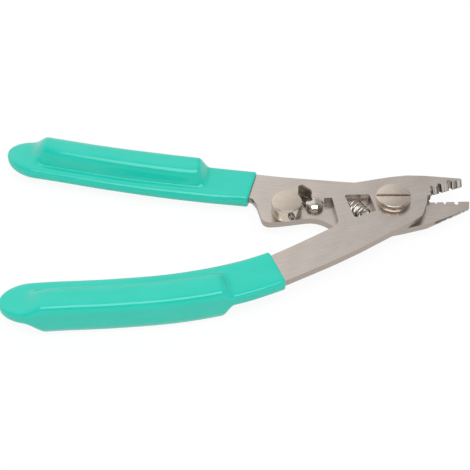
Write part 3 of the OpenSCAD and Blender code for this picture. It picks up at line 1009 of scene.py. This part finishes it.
@dataclass
class Grip:
    """One moulded grip: a flat sleeve round the tang with a cushion on its outer part.

    Widths are measured from the handle's middle line, outwards and inwards. A field that is a
    pair is an amount and the length over which it comes in. The corner reaches are in
    millimetres or, below zero, a share of the side, and run from the upper edge to the lower.
    """

    name: str
    node: str
    body: str
    half: Half
    side: float
    line: tuple[Span, ...]
    collar_x: float
    mid_z: float
    outer_w: float
    inner_w: float
    widening: float
    draft: float
    taper: float
    front_x: float
    sleeve_t: float = 5.2
    cushion_t: float = 13.28
    inset: float = 4.1
    inset_share: float = 0.5
    slope: float = 2.3
    dip: Span = (0.5, 30.0)
    growth: Span = (0.5, 16.0)
    front_cut: Span = (3.2, 8.0)
    back_cut: Span = (4.2, 15.0)
    flank: float = 0.7
    flank_loss: float = 0.3
    back_x: float = 127.0
    ramp: float = 4.0
    back_ramp: float = 7.0
    nose: float = 12.0
    nose_least: float = 0.004
    nose_share: float = 0.4
    blunt_below: float = 0.4
    nose_sweep_deg: float = 89.2
    nose_outlines: int = 26
    lean: Span = (9.0, 12.0)
    lip: float = 0.7
    lip_outlines: int = 7
    tang: Span = (12.4, 2.6)
    pocket_depth: Place = (1.6, 0.3, 0.0)
    pocket_room: Place = (0.12, 0.12, 0.34)
    corner_reach: tuple[float, ...] = (-0.45, -0.12, 2.6, 2.4, 2.0, 2.0, 2.4, 3.2, 1.6, -0.86)
    most_reach: float = 0.45
    per_corner: int = 9
    around: int = 168
    step: float = 0.6

    @property
    def tip(self) -> float:
        """Place of the tip along the handle."""
        return self.line[-1][0]

    def middle(self, x: np.ndarray) -> np.ndarray:
        """Give the handle's middle line.

        It is a cubic through the stations whose slope at each one is that of the chord between
        its two neighbours.

        Args:
            x: Places along the handle.

        Returns:
            The line's Y at each place.
        """
        xs, ys = (np.array(v) for v in zip(*self.line))
        last = len(xs) - 1
        station = np.arange(len(xs))
        low, high = np.clip(station - 1, 0, None), np.clip(station + 1, None, last)
        slopes = (ys[high] - ys[low]) / (xs[high] - xs[low])
        i = np.clip(np.searchsorted(-xs, -x, side="right") - 1, 0, last - 1)
        w = xs[i + 1] - xs[i]
        t = (x - xs[i]) / w
        a, b, rise = slopes[i] * w, slopes[i + 1] * w, ys[i + 1] - ys[i]
        return (
            ys[i]
            + a * t
            + (3.0 * rise - 2.0 * a - b) * t**2
            + (a + b - 2.0 * rise) * t**3
        )

    def corners(self, x: np.ndarray) -> np.ndarray:
        """Give the ten corners of the outline at each place along the grip.

        A flat sleeve carries the cushion on its outer part. Widths shrink at the nose by the
        height of a circle's arc. The cushion rises over its front ramp and falls over its back
        one by smooth steps, and each end of it is cut back by a square that fades out.

        Args:
            x: Places along the handle.

        Returns:
            Array (places, 10, 2) of distance outwards and height.
        """
        t = np.clip((self.tip + self.nose - x) / self.nose, 0.0, 1.0)
        k = np.maximum(np.sqrt(np.clip(1.0 - t * t, 0.0, 1.0)), self.nose_least)
        widened = self.widening * (self.collar_x - x) / (self.collar_x - self.tip)
        w = (self.outer_w + widened) * k
        blunt = np.sqrt(1.0 - (1.0 - np.minimum(k / self.blunt_below, 1.0)) ** 2)
        h = self.sleeve_t / 2.0 * (self.nose_share + (1.0 - self.nose_share) * k) * blunt
        in_front = self.ramp - x - self.front_x
        behind = x + self.back_x + self.back_ramp
        rise = eased(in_front / self.ramp) * eased(behind / self.back_ramp)
        ends = ((in_front, self.front_cut), (behind, self.back_cut))
        cut = sum(most * np.clip(1.0 - run / over, 0.0, 1.0) ** 2 for run, (most, over) in ends)
        growth = self.growth[0] * eased((self.collar_x - x) / self.growth[1])
        full = self.cushion_t / 2.0
        high, low = self.mid_z + h, self.mid_z - h
        top = high + (full - high) * rise
        bottom = low - (full + low) * rise
        edge = -(self.inner_w + widened + growth) * k
        base = edge + self.inset * (self.inset_share + growth) * k
        rim = base + (self.slope + cut) * k
        past_front = -x - self.front_x
        draft = self.draft + self.taper * eased(past_front / (self.back_x - self.front_x))
        shoulder = w - draft * k
        flank = (self.flank - self.flank_loss * rise) * blunt
        dip = self.dip[0] * rise * eased(past_front / self.dip[1]) * blunt
        ring = (
            (edge, high),
            (base, high - dip),
            (rim, top),
            (shoulder, top),
            (w, (high + top) / 2.0 - flank),
            (w, (low + bottom) / 2.0 + flank),
            (shoulder, bottom),
            (rim, bottom),
            (base, low + dip),
            (edge, low),
        )
        return np.stack([np.stack(corner, -1) for corner in ring], 1)

    def sections(self, x: np.ndarray) -> np.ndarray:
        """Give the outline of the grip at each place along it.

        Each corner is a quadratic curve between a point before it and one after it, and the
        reaches after the corners are those before them in the opposite order. The outline is
        then shared out evenly by its own length, with one interpolation for all the places.

        Args:
            x: Places along the handle.

        Returns:
            Array (places, around, 2) of distance outwards and height.
        """

        def point_towards(turns: int, reach: np.ndarray) -> np.ndarray:
            """Go from each corner towards its neighbour, that many corners round."""
            side = np.roll(corners, turns, axis=1) - corners
            length = np.linalg.norm(side, axis=2, keepdims=True) + 1e-9
            given = reach[None, :, None]
            most = np.minimum(given, length * self.most_reach)
            return corners + side / length * np.where(given < 0.0, -given * length, most)

        corners = self.corners(x)
        reach = np.array(self.corner_reach)
        a, b = point_towards(1, reach), point_towards(-1, reach[::-1])
        s = np.linspace(0.0, 1.0, self.per_corner)[None, None, :, None]
        curve = (
            (1.0 - s) ** 2 * a[:, :, None]
            + 2.0 * s * (1.0 - s) * corners[:, :, None]
            + s**2 * b[:, :, None]
        )
        outline = curve.reshape(len(x), -1, 2)
        closed = np.concatenate([outline, outline[:, :1]], axis=1)
        steps = np.linalg.norm(np.diff(closed, axis=1), axis=2)
        run = np.concatenate([np.zeros((len(x), 1)), np.cumsum(steps, axis=1)], axis=1)
        run /= run[:, -1:]
        offset = np.arange(len(x))[:, None] * 2.0
        wanted = np.linspace(0.0, 1.0, self.around, endpoint=False)[None, :] + offset
        known = (run + offset).ravel()
        return np.stack(
            [
                np.interp(wanted.ravel(), known, closed[..., n].ravel()).reshape(wanted.shape)
                for n in (0, 1)
            ],
            -1,
        )

    def build(self) -> bpy.types.Object:
        """Loft the grip from the pocket round the tang, over the rounded collar, to the nose.

        At the collar the outline is drawn in by the lip's radius less its sine, while it moves
        forwards by the same radius less its cosine. Every outline leans with the collar at the
        front, and the lean fades out behind it. The outlines inside the pocket are centred on
        the tang.

        Returns:
            The grip.
        """
        turn = np.linspace(0.0, math.pi / 2.0, self.lip_outlines)
        room = np.array(self.pocket_room)
        half_w, half_t = (self.outer_w + self.inner_w) / 2.0, self.sleeve_t / 2.0
        shift = (self.outer_w - self.inner_w) / 2.0
        depth = np.concatenate([self.pocket_depth, self.lip * (1.0 - np.cos(turn))])
        drawn = self.lip * (1.0 - np.sin(turn))
        straight = np.arange(self.collar_x - self.lip - self.step, self.tip + self.nose, -self.step)
        sweep = np.linspace(0.0, math.radians(self.nose_sweep_deg), self.nose_outlines)
        nose = self.tip + self.nose * (1.0 - np.sin(sweep))
        x = np.concatenate([self.collar_x - depth, straight, nose])
        whole = np.ones(len(x) - len(depth))
        wide, tall = (
            np.concatenate([(size / 2.0 + room) / half, 1.0 - drawn / half, whole])
            for size, half in zip(self.tang, (half_w, half_t))
        )
        outline = self.sections(x)
        inside = np.arange(len(x)) < len(self.pocket_depth) - 1
        out = (outline[..., 0] - shift) * wide[:, None] + np.where(inside, 0.0, shift)[:, None]
        height = self.mid_z + (outline[..., 1] - self.mid_z) * tall[:, None]
        fading = 1.0 - eased((self.collar_x - x) / self.lean[1])
        lean = math.tan(math.radians(self.lean[0])) * fading
        along = x[:, None] + lean[:, None] * out
        points = np.stack([along, self.middle(along) + self.side * out, height], -1)
        piece = surface_piece(self.name, self.half.place(points))
        piece.data.materials.append(DippedVinyl(f"vinyl_{self.name}").material())
        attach(piece, self.body)
        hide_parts(self.node)
        log.info("%s with %d outlines", self.name, len(x))
        return piece


# ---------------------------------------------------------------- studio


@dataclass
class Studio:
    """Camera, floor, world and one lamp.

    Each step is where a smooth step starts and ends along an axis of the room, and each shade
    is how bright the gloss shows that part of it.
    """

    tilt_deg: float = 4.1
    look_down_deg: float = 46.3
    eye: Place = (0.0, -288.51249, 301.91108)
    pivot_in_view: Span = (55.98664, 14.98323)
    nudge_mm: float = 0.174
    sensor_mm: float = 36.0
    lens_mm: float = 36.0 * 1200.0 / 470.0
    clip_m: Span = (0.01, 20.0)
    fill: float = 0.79
    floor_share: float = 0.92
    floor_half_m: float = 3.0
    floor_z_m: float = -0.0002
    floor_paint: Colour = (0.86, 0.86, 0.86)
    back_step: Span = (-0.35, 0.55)
    left_step: Span = (-0.08, 0.32)
    low_step: Span = (0.22, 0.5)
    front_shade: float = 0.12
    back_shade: float = 0.42
    left_shade: float = 0.66
    low_shade: float = 0.62
    lamp_at: Place = (0.0, -0.28, 0.85)
    lamp_m: Span = (0.90, 0.50)
    lamp_watts: float = 5.0

    def camera(self) -> None:
        """Stand the camera where the view was worked out from the tool's own corners."""
        spin = Matrix.Rotation(math.radians(-self.tilt_deg), 3, "Z")
        tip = Matrix.Rotation(math.radians(90.0 - self.look_down_deg), 3, "X")
        eye = Vector(np.subtract(self.eye, (*self.pivot_in_view, 0.0)))
        facing = spin @ tip
        nudge = facing @ Vector((-self.nudge_mm, self.nudge_mm, 0.0))
        data = bpy.data.cameras.new("view")
        data.sensor_width = self.sensor_mm
        data.lens = self.lens_mm
        data.clip_start, data.clip_end = self.clip_m
        camera = bpy.data.objects.new("view", data)
        place = Vector(pivot_joint()["pos_m"]) + (spin @ eye + nudge) * MM
        camera.matrix_world = Matrix.Translation(place) @ facing.to_4x4()
        bpy.context.scene.collection.objects.link(camera)
        bpy.context.scene.camera = camera

    def rays(self, graph: Graph, *kinds: str) -> Wire:
        """Give 1 for rays of the kinds named, and 0 for the others.

        Args:
            graph: The graph to build in.
            kinds: The kinds, such as Camera or Glossy.

        Returns:
            The mask.
        """
        path = graph.node("ShaderNodeLightPath")
        first, *others = (Wire(graph, path.outputs[f"Is {kind} Ray"]) for kind in kinds)
        return sum(others, first).maths("MINIMUM", 1.0)

    def floor(self) -> None:
        """Lay a pale floor that keeps the tool's shadow."""
        size, low = self.floor_half_m, self.floor_z_m
        mesh = bpy.data.meshes.new("floor")
        corners = [(-size, -size, low), (size, -size, low), (size, size, low), (-size, size, low)]
        mesh.from_pydata(corners, [], [(0, 1, 2, 3)])
        floor = bpy.data.objects.new("floor", mesh)
        bpy.context.scene.collection.objects.link(floor)
        material, graph = new_material("pale_floor", WHITE)
        paint = graph.node("ShaderNodeBsdfDiffuse", None, {"Color": self.floor_paint})
        white = graph.node("ShaderNodeEmission", None, {"Color": WHITE, "Strength": 1.0})
        share = self.rays(graph, "Camera", "Glossy", "Transmission") * self.floor_share
        blend = graph.node(
            "ShaderNodeMixShader", None, {0: share, 1: paint.outputs[0], 2: white.outputs[0]}
        )
        graph.node("ShaderNodeOutputMaterial", None, {"Surface": blend.outputs[0]})
        mesh.materials.append(material)

    def world(self) -> None:
        """Surround the tool with white, which the gloss sees as a room of uneven light.

        The gloss sees the back of the room bright, and brightest at the left, and the front
        dark but for a low band. Matt surfaces are lit by one even level.
        """
        world = bpy.data.worlds.new("studio")
        world.use_nodes = True
        bpy.context.scene.world = world
        graph = Graph(world.node_tree)
        x, y, z = graph.parts(graph.spot("Generated"))
        back = y.between(*self.back_step)
        left = 1.0 - x.between(*self.left_step)
        low = 1.0 - z.between(*self.low_step)
        shade = (
            self.front_shade
            + back * (self.back_shade + left * self.left_shade)
            + (1.0 - back) * low * self.low_shade
        )
        level = self.fill + (shade - self.fill) * self.rays(graph, "Glossy")
        direct = self.rays(graph, "Camera", "Transmission")
        room, white = (
            graph.node("ShaderNodeBackground", None, {"Color": WHITE, "Strength": strength})
            for strength in (level, 1.0)
        )
        blend = graph.node(
            "ShaderNodeMixShader", None, {0: direct, 1: room.outputs[0], 2: white.outputs[0]}
        )
        graph.node("ShaderNodeOutputWorld", None, {"Surface": blend.outputs[0]})

    def lamp(self) -> None:
        """Hang one rectangular lamp over the tool, facing it."""
        data = bpy.data.lights.new("overhead_box", "AREA")
        data.shape = "RECTANGLE"
        data.size, data.size_y = self.lamp_m
        data.energy = self.lamp_watts
        lamp = bpy.data.objects.new("overhead_box", data)
        lamp.location = self.lamp_at
        lamp.rotation_euler = (-Vector(self.lamp_at)).to_track_quat("-Z", "Y").to_euler()
        bpy.context.scene.collection.objects.link(lamp)

    def build(self) -> None:
        """Set up the whole studio."""
        self.camera()
        self.floor()
        self.world()
        self.lamp()
        bpy.context.scene.view_settings.view_transform = "Standard"
        log.info("studio ready")


def main() -> None:
    """Build the studio and every piece."""
    logging.basicConfig(level=logging.INFO, format="%(name)s: %(message)s")
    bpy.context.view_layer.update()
    Studio().build()
    Plates().build()
    TurnedParts().build()
    LockParts().build()
    ReturnSpring().build()
    lower = Grip(
        name="lower_cushion_grip",
        node="lower_grip",
        body="front_half",
        half=Half.FRONT,
        side=-1.0,
        line=(
            (-44.0, -22.0),
            (-62.0, -25.3),
            (-82.0, -25.8),
            (-104.0, -23.5),
            (-124.0, -20.3),
            (-141.0, -18.2),
        ),
        collar_x=-48.0,
        mid_z=1.32,
        outer_w=7.6,
        inner_w=7.9,
        widening=0.0,
        draft=1.6,
        taper=0.0,
        front_x=69.0,
    )
    upper = Grip(
        name="upper_cushion_grip",
        node="upper_grip",
        body="rear_half",
        half=Half.REAR,
        side=1.0,
        line=(
            (-44.0, 5.7),
            (-62.0, 6.8),
            (-82.0, 8.5),
            (-104.0, 11.3),
            (-124.0, 14.5),
            (-142.6, 17.2),
        ),
        collar_x=-50.4,
        mid_z=-1.32,
        outer_w=7.1,
        inner_w=8.1,
        widening=0.5,
        draft=1.8,
        taper=1.4,
        front_x=70.5,
    )
    for grip in (lower, upper):
        grip.build()


if __name__ == "__main__":
    main()
